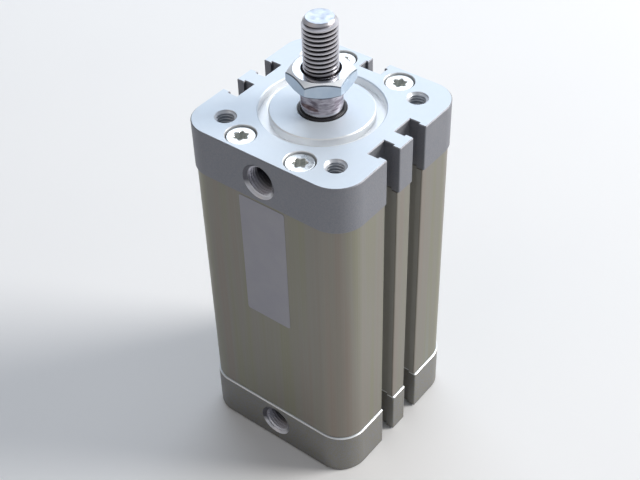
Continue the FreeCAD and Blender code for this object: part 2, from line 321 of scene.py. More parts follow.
def finish_piece(mesh, name, materials, sharp_angle=28.0):
    """Closes the seams of a mesh drawn in millimetres and makes it a piece in metres."""
    bmesh.ops.remove_doubles(mesh, verts=mesh.verts, dist=0.002)
    bmesh.ops.dissolve_degenerate(mesh, edges=mesh.edges, dist=0.0005)
    bmesh.ops.recalc_face_normals(mesh, faces=mesh.faces)
    bmesh.ops.scale(mesh, verts=mesh.verts, vec=(MM, MM, MM))
    data = bpy.data.meshes.new(name)
    mesh.to_mesh(data)
    mesh.free()
    for material in materials:
        data.materials.append(material)
    data.shade_smooth()
    data.set_sharp_from_angle(angle=math.radians(sharp_angle))
    piece = bpy.data.objects.new(name, data)
    scene.collection.objects.link(piece)
    normals = piece.modifiers.new("flat_faces_stay_flat", "WEIGHTED_NORMAL")
    normals.keep_sharp = True
    return piece


def mark_slot_walls(mesh, slot):
    """Gives the inner walls of the sensor slots a material of their own."""
    margin = 0.2
    for face in mesh.faces:
        x, y, _ = face.calc_center_median()
        face.normal_update()
        beside = abs(abs(y) - slot_offset) < slot_inside + margin
        beside = beside and slot_floor - margin < abs(x) < slot_wall_end
        behind = abs(x) < slot_inside + margin and slot_floor - margin < y < slot_wall_end
        upright = abs(face.normal.z) < 0.5
        if (beside or behind) and upright:
            face.material_index = slot


def mottled(name, grain, colours, roughness, detail=3.0, **surface):
    """Material whose colour and roughness follow one noise, with its grain in mm, or one for each axis."""
    material, tree, shader = new_material(name, **surface)
    lengths = grain if isinstance(grain, tuple) else (grain, grain, grain)
    place = add_node(tree, "ShaderNodeTexCoord").outputs["Object"]
    stretched = add_node(
        tree, "ShaderNodeMapping", {"Vector": place, "Scale": [1 / (length * MM) for length in lengths]},
    )
    noise = add_node(
        tree, "ShaderNodeTexNoise", {"Vector": stretched.outputs[0], "Scale": 1.0, "Detail": detail},
    )
    base = add_node(
        tree, "ShaderNodeMix",
        {0: noise.outputs["Fac"], 6: linear(colours[0]), 7: linear(colours[1])},
        data_type="RGBA",
    )
    rough = add_node(tree, "ShaderNodeMapRange", {
        "Value": noise.outputs["Fac"], "From Min": 0.3, "From Max": 0.7,
        "To Min": roughness[0], "To Max": roughness[1],
    })
    tree.links.new(base.outputs[2], shader.inputs["Base Color"])
    tree.links.new(rough.outputs[0], shader.inputs["Roughness"])
    return material


# Slot walls: painted paler and duller than the outside, which lifts the shade inside the slots; the outside
# is brushed before anodising.
slot_metal = mottled(
    "slot_wall_aluminium_painted_lighter", (0.5, 0.5, 100), ("94938e", "a3a29d"), (0.50, 0.62), Metallic=0.3,
)

# Clear anodised extrusion: a dull satin grey with a warm cast, fine lines along the press direction
# and broad bands, pinkish, olive and cool, where the die drew the metal differently. The real lines
# are near 0.1 mm; they are drawn at 0.35 mm so that they show.
tube_metal, tree, shader = new_material("extruded_clear_anodised_aluminium", Metallic=0.65)
place = add_node(tree, "ShaderNodeTexCoord").outputs["Object"]
line_width, line_length = 0.35 * MM, 125 * MM
band_width, band_length = 6 * MM, 200 * MM
line_map = add_node(tree, "ShaderNodeMapping", {
    "Vector": place, "Scale": (1 / line_width, 1 / line_width, 1 / line_length),
})
lines = add_node(
    tree, "ShaderNodeTexNoise", {"Vector": line_map.outputs[0], "Scale": 1.0, "Detail": 4.0},
)
band_map = add_node(tree, "ShaderNodeMapping", {
    "Vector": place, "Scale": (1 / band_width, 1 / band_width, 1 / band_length),
})
bands = add_node(
    tree, "ShaderNodeTexNoise", {"Vector": band_map.outputs[0], "Scale": 1.0, "Detail": 2.0},
)
warm = add_node(tree, "ShaderNodeValToRGB", {"Fac": bands.outputs["Fac"]})
stops = warm.color_ramp.elements
stops[0].position, stops[0].color = 0.32, linear("85766c")
stops[1].position, stops[1].color = 0.70, linear("828685")
for position, colour in ((0.44, "827d73"), (0.56, "7f7d60")):
    stops.new(position).color = linear(colour)
lined = add_node(
    tree, "ShaderNodeMix",
    {0: lines.outputs["Fac"], 6: warm.outputs["Color"], 7: linear("92918a")},
    data_type="RGBA",
)
rough = add_node(
    tree, "ShaderNodeMapRange",
    {"Value": lines.outputs["Fac"], "From Min": 0.3, "From Max": 0.7, "To Min": 0.40, "To Max": 0.52},
)
grooves = add_node(
    tree, "ShaderNodeBump",
    {"Height": lines.outputs["Fac"], "Strength": 0.12, "Distance": 0.1 * MM},
)
tree.links.new(lined.outputs[2], shader.inputs["Base Color"])
tree.links.new(rough.outputs[0], shader.inputs["Roughness"])
tree.links.new(grooves.outputs[0], shader.inputs["Normal"])

tube_bottom = cap_length
tube_top = body_length - cap_length
mesh = bmesh.new()
tube_side = outline(tube_half, tube_corner, 0)
tube_end = outline(tube_half, tube_corner, tube_edge)
add_walls(mesh, [
    at_height(tube_end, tube_bottom),
    at_height(tube_side, tube_bottom + tube_edge),
    at_height(tube_side, tube_top - tube_edge),
    at_height(tube_end, tube_top),
])
cores = [circle(screw_core, hole_sides, x, y) for x, y in four_places(screw_x, screw_y)]
for z in (tube_bottom, tube_top):
    add_flat(mesh, [tube_end, circle(seal_step_radius, bore_sides)] + cores, lambda x, y: (x, y, z))
for core in cores:
    add_walls(mesh, [at_height(core, tube_bottom), at_height(core, tube_top)])
add_turned(mesh, [
    (seal_step_radius, tube_bottom), (seal_step_radius, tube_bottom + seal_step_depth),
    (bore_radius, tube_bottom + seal_step_depth), (bore_radius, tube_top - seal_step_depth),
    (seal_step_radius, tube_top - seal_step_depth), (seal_step_radius, tube_top),
], bore_sides)
mark_slot_walls(mesh, 1)
barrel = finish_piece(mesh, "barrel_tube_profile", [tube_metal, slot_metal])
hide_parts("barrel_tube")
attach(barrel, "cylinder_body")


# Rear and front cap: square aluminium end plates with a spigot in the tube, a G1/8 port in the side,
# four M6 threads and four counterbored screw holes. Cast, blasted all over, then faced and tapped.
cap_half = 28.5
cap_corner = 9.0
cap_edge = 0.25
cap_inner_edge = 0.3
mount_place = 19.0
mount_minor, mount_major, mount_pitch = 2.46, 3.0, 1.0
mount_mouth = 3.2
mount_inner_mouth = 3.15
counterbore = 4.45
counterbore_edge = 0.15
counterbore_depth = 5.4
counterbore_sides = 48
screw_clearance = 2.75
spigot_radius = 19.95
spigot_end = 17.25
spigot_edge = 0.3
pocket_radius = 16.4
pocket_floor = 12.75
port_height = 8.25
port_mouth = 5.5
port_chamfer = 0.5
port_thread_start, port_thread_slope = 4.95, 4.0
port_minor, port_major, port_pitch = 4.283, 4.864, 0.907
port_rim = 4.9
port_depth = 11.0
passage_radius = 1.8
passage_sides = 32
port_sides = 40
passage_from_axis = 13.2
recess_outer, recess_inner, recess_depth = 18.0, 15.0, 2.5
hub_edge = 0.3
rod_exit, rod_exit_edge = 6.85, 0.3
seal_seat_radius, seal_seat_top, seal_seat_bottom = 9.0, 1.2, 6.2
bush_seat_radius, bush_seat_edge = 7.5, 0.3
housing_radius, housing_end, housing_edge = 9.6, 16.4, 0.2


def grow(source, tree, values):
    """Plain mesh that a node tree makes from a mesh, with its inputs given by name."""
    carrier = bpy.data.objects.new("carrier", source)
    scene.collection.objects.link(carrier)
    modifier = carrier.modifiers.new("rule", "NODES")
    modifier.node_group = tree
    for socket in tree.interface.items_tree:
        if socket.item_type == "SOCKET" and socket.in_out == "INPUT" and socket.name in values:
            modifier[socket.identifier] = values[socket.name]
    graph = bpy.context.evaluated_depsgraph_get()
    grown = bpy.data.meshes.new_from_object(carrier.evaluated_get(graph))
    carrier.modifiers.clear()
    bpy.data.objects.remove(carrier)
    return grown


def rule_tree(name, inputs):
    """Empty geometry node tree with a geometry input, the named inputs and a geometry output."""
    tree = bpy.data.node_groups.new(name, "GeometryNodeTree")
    tree.interface.new_socket("Geometry", in_out="INPUT", socket_type="NodeSocketGeometry")
    for label, kind in inputs.items():
        tree.interface.new_socket(label, in_out="INPUT", socket_type="NodeSocket" + kind)
    tree.interface.new_socket("Geometry", in_out="OUTPUT", socket_type="NodeSocketGeometry")
    return tree, add_node(tree, "NodeGroupInput").outputs


# The thread rule: a grid is wrapped round the axis and sheared by one pitch a turn, so that its rows
# run along the helix: four rows a turn give the crest, two flanks and the root. Crest is the share of
# the pitch at the outer radius, 0.125 on a sharp thread. Hollow is 1 for a tapped hole and -1 for a
# rod, and the mouths cut the thread off in a cone at both ends.
thread_rule, given = rule_tree("screw_thread", {
    "Inner radius": "Float", "Outer radius": "Float", "Pitch": "Float", "Bottom": "Float", "Top": "Float",
    "Bottom mouth": "Float", "Top mouth": "Float", "Bottom slope": "Float", "Top slope": "Float",
    "Crest": "Float", "Hollow": "Float", "Sides": "Int", "Material": "Material",
})
grid_point = add_node(thread_rule, "GeometryNodeInputPosition").outputs[0]
spot = add_node(thread_rule, "ShaderNodeSeparateXYZ", {0: grid_point}).outputs
known = {**dict(given.items()), "grid x": spot["X"], "grid y": spot["Y"]}

# Each step of the rule has a name, an operation and the numbers or earlier steps that it works on.
for name, operation, *terms in (
    ("length", "SUBTRACT", "Top", "Bottom"),
    ("pitches", "DIVIDE", "length", "Pitch"),
    ("whole pitches", "CEIL", "pitches"),
    ("turns", "ADD", "whole pitches", 2.0),
    ("rows", "MULTIPLY", "turns", 4.0),
    ("points around", "ADD", "Sides", 1.0),
    ("points along", "ADD", "rows", 1.0),
    ("around", "ADD", "grid x", 0.5),
    ("along", "ADD", "grid y", 0.5),
    ("exact row", "MULTIPLY", "along", "rows"),
    ("row", "ROUND", "exact row"),
    ("part", "MODULO", "row", 4.0),
    ("past crest", "GREATER_THAN", "part", 0.5),
    ("on root", "GREATER_THAN", "part", 1.5),
    ("past root", "GREATER_THAN", "part", 2.5),
    ("safe row", "ADD", "row", 0.25),
    ("exact turn", "DIVIDE", "safe row", 4.0),
    ("turn", "FLOOR", "exact turn"),
    ("after crest", "MULTIPLY_ADD", "past crest", "Crest", "turn"),
    ("after flank", "MULTIPLY_ADD", "on root", 0.3125, "after crest"),
    ("root share", "SUBTRACT", 0.375, "Crest"),
    ("phase", "MULTIPLY_ADD", "past root", "root share", "after flank"),
    ("sheared", "ADD", "phase", "around"),
    ("climb", "SUBTRACT", "sheared", 1.0),
    ("free height", "MULTIPLY_ADD", "climb", "Pitch", "Bottom"),
    ("below top", "MINIMUM", "free height", "Top"),
    ("height", "MAXIMUM", "below top", "Bottom"),
    ("depth", "SUBTRACT", "Inner radius", "Outer radius"),
    ("thread radius", "MULTIPLY_ADD", "on root", "depth", "Outer radius"),
    ("thread limit", "MULTIPLY", "thread radius", "Hollow"),
    ("from bottom", "SUBTRACT", "height", "Bottom"),
    ("bottom fall", "MULTIPLY", "from bottom", "Bottom slope"),
    ("bottom rim", "MULTIPLY", "Bottom mouth", "Hollow"),
    ("bottom cone", "SUBTRACT", "bottom rim", "bottom fall"),
    ("from top", "SUBTRACT", "Top", "height"),
    ("top fall", "MULTIPLY", "from top", "Top slope"),
    ("top rim", "MULTIPLY", "Top mouth", "Hollow"),
    ("top cone", "SUBTRACT", "top rim", "top fall"),
    ("bottom limit", "MAXIMUM", "thread limit", "bottom cone"),
    ("limit", "MAXIMUM", "bottom limit", "top cone"),
    ("radius", "MULTIPLY", "limit", "Hollow"),
    ("angle", "MULTIPLY", "around", 2 * math.pi),
    ("cosine", "COSINE", "angle"),
    ("sine", "SINE", "angle"),
    ("x", "MULTIPLY", "radius", "cosine"),
    ("y", "MULTIPLY", "radius", "sine"),
):
    inputs = {number: known.get(term, term) for number, term in enumerate(terms)}
    known[name] = add_node(thread_rule, "ShaderNodeMath", inputs, operation=operation).outputs[0]
grid = add_node(thread_rule, "GeometryNodeMeshGrid", {
    "Size X": 1.0, "Size Y": 1.0, "Vertices X": known["points around"], "Vertices Y": known["points along"],
})
wrapped = add_node(thread_rule, "ShaderNodeCombineXYZ", {
    "X": known["x"], "Y": known["y"], "Z": known["height"],
})
moved = add_node(thread_rule, "GeometryNodeSetPosition", {
    "Geometry": grid.outputs["Mesh"], "Position": wrapped.outputs[0],
})
welded = add_node(thread_rule, "GeometryNodeMergeByDistance", {
    "Geometry": moved.outputs[0], "Distance": 0.001,
})
plain = add_node(thread_rule, "GeometryNodeRealizeInstances", {"Geometry": welded.outputs[0]})
coated = add_node(thread_rule, "GeometryNodeSetMaterial", {
    "Geometry": plain.outputs[0], "Material": given["Material"],
})
add_node(thread_rule, "NodeGroupOutput", {"Geometry": coated.outputs[0]})

# The rule of four: a piece is repeated at four places in a rectangle, each turned by chance up to the
# given angle.
four_rule, given = rule_tree("four_places", {
    "Spacing X": "Float", "Spacing Y": "Float", "Turn": "Float", "Seed": "Int", "Material": "Material",
})
spread = add_node(four_rule, "GeometryNodeMeshGrid", {
    "Size X": given["Spacing X"], "Size Y": given["Spacing Y"], "Vertices X": 2, "Vertices Y": 2,
})
chance = add_node(four_rule, "FunctionNodeRandomValue", {"Seed": given["Seed"]}, data_type="FLOAT")
turn = add_node(
    four_rule, "ShaderNodeMath", {0: chance.outputs[1], 1: given["Turn"]}, operation="MULTIPLY",
)
turned = add_node(four_rule, "ShaderNodeCombineXYZ", {"Z": turn.outputs[0]})
copies = add_node(four_rule, "GeometryNodeInstanceOnPoints", {
    "Points": spread.outputs["Mesh"], "Instance": given["Geometry"], "Rotation": turned.outputs[0],
})
real = add_node(four_rule, "GeometryNodeRealizeInstances", {"Geometry": copies.outputs[0]})
coated = add_node(four_rule, "GeometryNodeSetMaterial", {
    "Geometry": real.outputs[0], "Material": given["Material"],
})
add_node(four_rule, "NodeGroupOutput", {"Geometry": coated.outputs[0]})

# Blasted aluminium: a dull grey with a grain of pits, near 0.2 mm across and drawn at 0.45 mm so that
# they show. The front cap is a cool grey and the rear cap, from another batch, a warmer one.
blasted_metal, tree, shader = new_material("blasted_aluminium", Metallic=0.6)
place = add_node(tree, "ShaderNodeTexCoord").outputs["Object"]
grain = add_node(tree, "ShaderNodeTexNoise", {"Vector": place, "Scale": 1 / (0.45 * MM), "Detail": 3.0})
pale_grain = add_node(
    tree, "ShaderNodeMapRange",
    {"Value": grain.outputs["Fac"], "From Min": 0.36, "From Max": 0.64, "To Min": 0.0, "To Max": 1.0},
)
patches = add_node(tree, "ShaderNodeTexNoise", {"Vector": place, "Scale": 1 / (6 * MM), "Detail": 3.0})
base = add_node(
    tree, "ShaderNodeMix",
    {0: patches.outputs["Fac"], 6: linear("7a7d86"), 7: linear("84868d")},
    data_type="RGBA",
)
height = add_node(tree, "ShaderNodeSeparateXYZ", {0: place}).outputs["Z"]
rear_share = add_node(
    tree, "ShaderNodeMapRange",
    {"Value": height, "From Min": 20 * MM, "From Max": 95 * MM, "To Min": 1.0, "To Max": 0.0},
)
batch = add_node(
    tree, "ShaderNodeMix",
    {0: rear_share.outputs[0], 6: base.outputs[2], 7: linear("888578")},
    data_type="RGBA",
)
speckled = add_node(
    tree, "ShaderNodeMix",
    {0: pale_grain.outputs[0], 6: batch.outputs[2], 7: linear("8b8c91")},
    data_type="RGBA",
)
rough = add_node(
    tree, "ShaderNodeMapRange",
    {"Value": grain.outputs["Fac"], "From Min": 0.3, "From Max": 0.7, "To Min": 0.48, "To Max": 0.62},
)
pits = add_node(
    tree, "ShaderNodeBump", {"Height": grain.outputs["Fac"], "Strength": 0.5, "Distance": 0.1 * MM},
)
tree.links.new(speckled.outputs[2], shader.inputs["Base Color"])
tree.links.new(rough.outputs[0], shader.inputs["Roughness"])
tree.links.new(pits.outputs[0], shader.inputs["Normal"])

# Faced aluminium: pale and satin, with the fine arcs that the turning tool leaves round the axis.
# The real marks are near 0.1 mm apart; they are drawn 2.5 mm apart and shallow so that they show.
faced_metal = mottled(
    "faced_aluminium", 4, ("d4dfea", "e0e9f2"), (0.52, 0.62), detail=4.0, Metallic=0.42,
)
tree = faced_metal.node_tree
place = add_node(tree, "ShaderNodeTexCoord").outputs["Object"]
mark_spacing = 0.8 * math.pi * MM
marks = add_node(
    tree, "ShaderNodeTexWave",
    {
        "Vector": place, "Scale": 2 * math.pi / 20 / mark_spacing,
        "Distortion": 1.5, "Detail": 2.0, "Detail Scale": 3.0,
    },
    wave_type="RINGS", rings_direction="Z",
)
arcs = add_node(
    tree, "ShaderNodeBump", {"Height": marks.outputs["Fac"], "Strength": 0.05, "Distance": 0.1 * MM},
)
tree.links.new(arcs.outputs[0], tree.nodes["Principled BSDF"].inputs["Normal"])

# Machined aluminium: cut bright after the blasting, so whiter and shinier than the face round it,
# as in the recess and the counterbores.
machined_metal = mottled("machined_aluminium", 1.5, ("eaeef2", "f6f8fa"), (0.36, 0.48), Metallic=0.45)

# Tapped port: the mouth is dull and darker than the wall, a painted highlight brightens its lower lip where
# light falls from above, the first turns of the thread are cut bright, and painted shade darkens the rest
# within a few millimetres.
port_metal, tree, shader = new_material("tapped_aluminium_painted_shade_and_highlight", Metallic=0.4)
# Painted shade: the port darkens over this many millimetres in from its mouth.
shade_depth = 8
# Painted highlight on the lower lip: full at the first distance below the port's middle, gone at the second,
# at the given strength.
lip_highlight_full, lip_highlight_end, lip_highlight_strength = 3.4, 1.4, 0.85
place = add_node(tree, "ShaderNodeTexCoord").outputs["Object"]
cloud = add_node(tree, "ShaderNodeTexNoise", {"Vector": place, "Scale": 1 / (1.5 * MM), "Detail": 3.0})
spot = add_node(tree, "ShaderNodeSeparateXYZ", {0: place}).outputs
inward = add_node(tree, "ShaderNodeMapRange", {
    "Value": spot["Y"], "From Min": -cap_half * MM, "From Max": (shade_depth - cap_half) * MM,
    "To Min": 0.0, "To Max": 1.0,
})
# Depth ramp: dull mouth, bright first turns, then painted shade deeper in.
depth_shade_ramp = add_node(tree, "ShaderNodeValToRGB", {"Fac": inward.outputs[0]})
stops = depth_shade_ramp.color_ramp.elements
stops[0].position, stops[0].color = 0.10, linear("5a5a62")
stops[1].position, stops[1].color = 0.62, linear("46444e")
for position, colour in ((0.13, "e2e2ec"), (0.40, "dcdce6")):
    stops.new(position).color = linear(colour)
# Both ports sit at the same height within this repeat, so one mask gives both lower lips their painted
# highlight.
port_to_port = (body_length - 2 * port_height) * MM
local_height = add_node(tree, "ShaderNodeMath", {0: spot["Z"], 1: port_to_port}, operation="MODULO")
painted_lip_highlight = add_node(tree, "ShaderNodeMapRange", {
    "Value": local_height.outputs[0],
    "From Min": (port_height - lip_highlight_full) * MM, "From Max": (port_height - lip_highlight_end) * MM,
    "To Min": lip_highlight_strength, "To Max": 0.0,
})
lip_highlighted = add_node(
    tree, "ShaderNodeMix",
    {0: painted_lip_highlight.outputs[0], 6: depth_shade_ramp.outputs["Color"], 7: linear("fafaff")},
    data_type="RGBA",
)
# The painted shade deeper in the port goes over the painted lip highlight.
painted_recess_shade = add_node(
    tree, "ShaderNodeMix",
    {0: inward.outputs[0], 6: lip_highlighted.outputs[2], 7: depth_shade_ramp.outputs["Color"]},
    data_type="RGBA",
)
rough = add_node(
    tree, "ShaderNodeMapRange",
    {"Value": cloud.outputs["Fac"], "From Min": 0.3, "From Max": 0.7, "To Min": 0.28, "To Max": 0.42},
)
tree.links.new(painted_recess_shade.outputs[2], shader.inputs["Base Color"])
tree.links.new(rough.outputs[0], shader.inputs["Roughness"])

# Tapped mounting holes: the tap leaves them a duller grey than the faced metal round them.
hole_metal = mottled("tapped_aluminium", 1.5, ("c6cad1", "e0e4e9"), (0.30, 0.45), Metallic=0.5)

cap_metals = [faced_metal, blasted_metal, machined_metal, port_metal, hole_metal]
FACED, BLASTED, MACHINED, TAPPED, HOLE = 0, 1, 2, 3, 4
TAPPED_HOLE, OUTER_THREAD = 1.0, -1.0
turn_over = Matrix.Translation((0, 0, body_length)) @ Matrix.Rotation(math.pi, 4, "Y")
empty_mesh = bpy.data.meshes.new("nothing")


def cut_thread(hollow, radii, pitch, ends, mouths, sides, material, slopes=(1.0, 1.0), crest=0.125):
    """Thread by the rule, with its inner and outer radius, and its height and mouth at the bottom and top."""
    return grow(empty_mesh, thread_rule, {
        "Inner radius": radii[0], "Outer radius": radii[1], "Pitch": pitch,
        "Bottom": ends[0], "Top": ends[1], "Bottom mouth": mouths[0], "Top mouth": mouths[1],
        "Bottom slope": slopes[0], "Top slope": slopes[1],
        "Crest": crest, "Hollow": hollow, "Sides": sides, "Material": material,
    })


mount_thread = cut_thread(
    TAPPED_HOLE, (mount_minor, mount_major), mount_pitch, (0.0, cap_length),
    (mount_mouth, mount_inner_mouth), hole_sides, machined_metal,
)
mount_threads = grow(mount_thread, four_rule, {
    "Spacing X": 2 * mount_place, "Spacing Y": 2 * mount_place, "Turn": 0.0, "Seed": 1,
    "Material": machined_metal,
})
port_thread = cut_thread(
    TAPPED_HOLE, (port_minor, port_major), port_pitch, (port_chamfer, port_depth),
    (port_thread_start, port_rim), port_sides, port_metal, slopes=(port_thread_slope, 1.0),
)
port_thread.transform(
    Matrix.Translation((0, -cap_half, port_height)) @ Matrix.Rotation(math.radians(-90), 4, "X")
)


def add_grown(mesh, source, slot):
    """Adds a plain mesh, all of it in one material."""
    first = len(mesh.faces)
    mesh.from_mesh(source)
    mesh.faces.ensure_lookup_table()
    for face in mesh.faces[first:]:
        face.material_index = slot


def add_port(mesh):
    """Port in the side wall: the wall round its mouth, its thread, its floor and the bent air passage."""
    side = outline(cap_half, cap_corner, 0)
    left, right_end = side[-1][0], side[0][0]
    low, high = cap_edge, cap_length - cap_inner_edge
    floor_y = port_depth - cap_half
    wall = [(left, low), (right_end, low), (right_end, high), (left, high)]
    mouth, start, rim = (circle(radius, port_sides, 0, port_height) for radius in (
        port_mouth, port_thread_start, port_rim,
    ))
    drill = circle(passage_radius, passage_sides, 0, port_height)
    add_flat(mesh, [wall, mouth], lambda x, z: (x, -cap_half, z), BLASTED)
    add_walls(mesh, [
        [(x, -cap_half, z) for x, z in mouth], [(x, port_chamfer - cap_half, z) for x, z in start],
    ], slot=TAPPED)
    add_grown(mesh, port_thread, TAPPED)
    add_flat(mesh, [rim, drill], lambda x, z: (x, floor_y, z), TAPPED)
    ring = circle(passage_radius, passage_sides)
    add_walls(mesh, [
        [(x, floor_y, port_height + z) for x, z in ring],
        [(x, -passage_from_axis - z, port_height + z) for x, z in ring],
        [(x, -passage_from_axis - z, pocket_floor) for x, z in ring],
    ], slot=TAPPED)


def add_cap(mesh, face_holes, floor_holes, ledge):
    """What both caps share, outer face at height 0, with the loops left open and the finish of the ledge."""
    side = outline(cap_half, cap_corner, 0)
    rim = outline(cap_half, cap_corner, cap_edge)
    inner_rim = outline(cap_half, cap_corner, cap_inner_edge)
    inner_start = cap_length - cap_inner_edge
    add_walls(mesh, [at_height(rim, 0), at_height(side, cap_edge)], slot=BLASTED)
    add_walls(mesh, [at_height(side, cap_edge), at_height(side, inner_start)], closing=False, slot=BLASTED)
    add_walls(mesh, [at_height(side, inner_start), at_height(inner_rim, cap_length)], slot=ledge)
    mounts = four_places(mount_place, mount_place)
    screws = four_places(screw_x, screw_y)
    face_loops = [rim] + [circle(mount_mouth, hole_sides, x, y) for x, y in mounts]
    face_loops += [circle(counterbore + counterbore_edge, counterbore_sides, x, y) for x, y in screws]
    add_flat(mesh, face_loops + face_holes, lambda x, y: (x, y, 0), FACED)
    inner_loops = [inner_rim] + [circle(mount_inner_mouth, hole_sides, x, y) for x, y in mounts]
    inner_loops += [circle(screw_clearance, counterbore_sides, x, y) for x, y in screws]
    inner_loops.append(circle(spigot_radius, bore_sides))
    add_flat(mesh, inner_loops, lambda x, y: (x, y, cap_length), FACED)
    for x, y in screws:
        add_walls(mesh, [at_height(circle(radius, counterbore_sides, x, y), z) for radius, z in (
            (counterbore + counterbore_edge, 0), (counterbore, counterbore_edge),
            (counterbore, counterbore_depth), (screw_clearance, counterbore_depth),
            (screw_clearance, cap_length),
        )], slot=MACHINED)
    add_turned(mesh, [
        (spigot_radius, cap_length), (spigot_radius, spigot_end - spigot_edge),
        (spigot_radius - spigot_edge, spigot_end), (pocket_radius, spigot_end), (pocket_radius, pocket_floor),
    ], bore_sides, MACHINED)
    passage = circle(passage_radius, passage_sides, 0, -passage_from_axis)
    pocket_loops = [circle(pocket_radius, bore_sides), passage] + floor_holes
    add_flat(mesh, pocket_loops, lambda x, y: (x, y, pocket_floor), FACED)
    add_grown(mesh, mount_threads, HOLE)
    add_port(mesh)


mesh = bmesh.new()
add_cap(mesh, [], [], MACHINED)
rear_cap = finish_piece(mesh, "rear_end_cap", cap_metals)
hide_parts("rear_cap")
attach(rear_cap, "cylinder_body")

mesh = bmesh.new()
add_cap(mesh, [circle(recess_outer + hub_edge, bore_sides)], [circle(housing_radius, bore_sides)], BLASTED)
add_turned(mesh, [(recess_outer + hub_edge, 0), (recess_outer, hub_edge)], bore_sides, FACED)
add_turned(mesh, [
    (recess_outer, hub_edge), (recess_outer, recess_depth), (recess_inner, recess_depth),
    (recess_inner, hub_edge), (recess_inner - hub_edge, 0),
], bore_sides, MACHINED)
add_turned(mesh, [(recess_inner - hub_edge, 0), (rod_exit + rod_exit_edge, 0)], bore_sides, FACED)
add_turned(mesh, [
    (rod_exit + rod_exit_edge, 0), (rod_exit, rod_exit_edge), (rod_exit, seal_seat_top),
    (seal_seat_radius, seal_seat_top), (seal_seat_radius, seal_seat_bottom),
    (bush_seat_radius, seal_seat_bottom), (bush_seat_radius, housing_end - bush_seat_edge),
    (bush_seat_radius + bush_seat_edge, housing_end), (housing_radius - housing_edge, housing_end),
    (housing_radius, housing_end - housing_edge), (housing_radius, pocket_floor),
], bore_sides, MACHINED)
bmesh.ops.transform(mesh, matrix=turn_over, verts=mesh.verts)
front_cap = finish_piece(mesh, "front_end_cap", cap_metals)
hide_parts("front_cap")
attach(front_cap, "cylinder_body")


# Cap screws: four M5 screws at each end with low round heads and six-lobed sockets, sunk in the caps.
# Cold headed steel with a bright zinc plating; each is tightened to its own angle.
head_radius, head_face, head_seat = 4.1, 0.45, 5.4
head_rounding = ((0.45, 0.0), (0.13, 0.13), (0.0, 0.45))
socket_mean, socket_lobe, socket_depth = 1.95, 0.30, 2.4
socket_edge = 0.15
socket_point, socket_point_depth = 0.4, 0.5
screw_neck, screw_tip, screw_end = 2.0, 1.4, 30.4
screw_minor, screw_major, screw_pitch = 2.05, 2.4, 0.8
screw_sides = 48
PLATED, SOCKET = 0, 1

# Bright zinc: a pale silvery metal with a slight blue cast and a soft cloudy sheen.
screw_zinc = mottled("bright_zinc_plated_steel", 1.2, ("e2e6e9", "f3f4f2"), (0.22, 0.36), Metallic=1.0)

# Inside the sockets the steel is painted darker and duller, as shade in the deep, narrow socket.
socket_steel = mottled("socket_steel_painted_shade", 0.6, ("b9bcb9", "f0f2ef"), (0.30, 0.50), Metallic=0.6)


def star(widening):
    """Six-lobed socket outline."""
    points = []
    for side in range(screw_sides):
        angle = 2 * math.pi * side / screw_sides
        radius = socket_mean + widening + socket_lobe * math.cos(6 * angle)
        points.append((radius * math.cos(angle), radius * math.sin(angle)))
    return points


mesh = bmesh.new()
socket_floor = head_face + socket_depth + socket_point_depth
add_flat(mesh, [circle(socket_point, screw_sides)], lambda x, y: (x, y, socket_floor))
add_walls(mesh, [
    at_height(circle(socket_point, screw_sides), socket_floor),
    at_height(star(0), head_face + socket_depth),
    at_height(star(0), head_face + socket_edge),
])
one_socket = bpy.data.meshes.new("screw_socket")
mesh.to_mesh(one_socket)
mesh.free()

mesh = bmesh.new()
rounding = [
    at_height(circle(head_radius - inset, screw_sides), head_face + drop) for inset, drop in head_rounding
]
add_walls(mesh, [
    at_height(star(0), head_face + socket_edge),
    at_height(star(socket_edge), head_face),
    *rounding,
    at_height(circle(head_radius, screw_sides), head_seat),
    at_height(circle(screw_neck, screw_sides), head_seat),
])
mesh.from_mesh(cut_thread(
    OUTER_THREAD, (screw_minor, screw_major), screw_pitch, (head_seat, screw_end), (screw_neck, screw_tip),
    screw_sides, screw_zinc,
))
add_flat(mesh, [circle(screw_tip, screw_sides)], lambda x, y: (x, y, screw_end))
one_screw = bpy.data.meshes.new("cap_screw")
mesh.to_mesh(one_screw)
mesh.free()
for name, node_name, seed, flip in (
    ("rear_screw_set", "rear_cap_screws", 3, Matrix.Identity(4)),
    ("front_screw_set", "front_cap_screws", 8, turn_over),
):
    mesh = bmesh.new()
    for source, material, slot in ((one_screw, screw_zinc, PLATED), (one_socket, socket_steel, SOCKET)):
        add_grown(mesh, grow(source, four_rule, {
            "Spacing X": 2 * screw_x, "Spacing Y": 2 * screw_y, "Turn": 2 * math.pi, "Seed": seed,
            "Material": material,
        }), slot)
    bmesh.ops.transform(mesh, matrix=flip, verts=mesh.verts)
    screws = finish_piece(mesh, name, [screw_zinc, socket_steel])
    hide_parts(node_name)
    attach(screws, "cylinder_body")


# Rod wiper seal: one moulded black rubber ring that seals the rod inside and wipes it outside.
# It snaps into the groove of the front cap, and its lip stands just out of the face.
wiper_inner, wiper_neck, wiper_seat = 6.03, 6.8, 8.95
wiper_bottom, wiper_shoulder, wiper_top = 108.8, 113.8, 115.4
lip_foot, lip_groove_inner, lip_groove_outer, lip_groove_depth = 0.7, 7.2, 7.75, 1.8
wiper_outer_rounding = ((0.0, 0.35), (0.06, 0.16), (0.2, 0.04), (0.35, 0.0))
wiper_inner_rounding = ((0.2, 0.02), (0.06, 0.1), (0.0, 0.3))
rod_sides = 64

# Moulded nitrile rubber: near black and half matt, with a fine mould grain.
rubber = mottled("moulded_nitrile_rubber", 0.5, ("141317", "232126"), (0.38, 0.55), IOR=1.52)

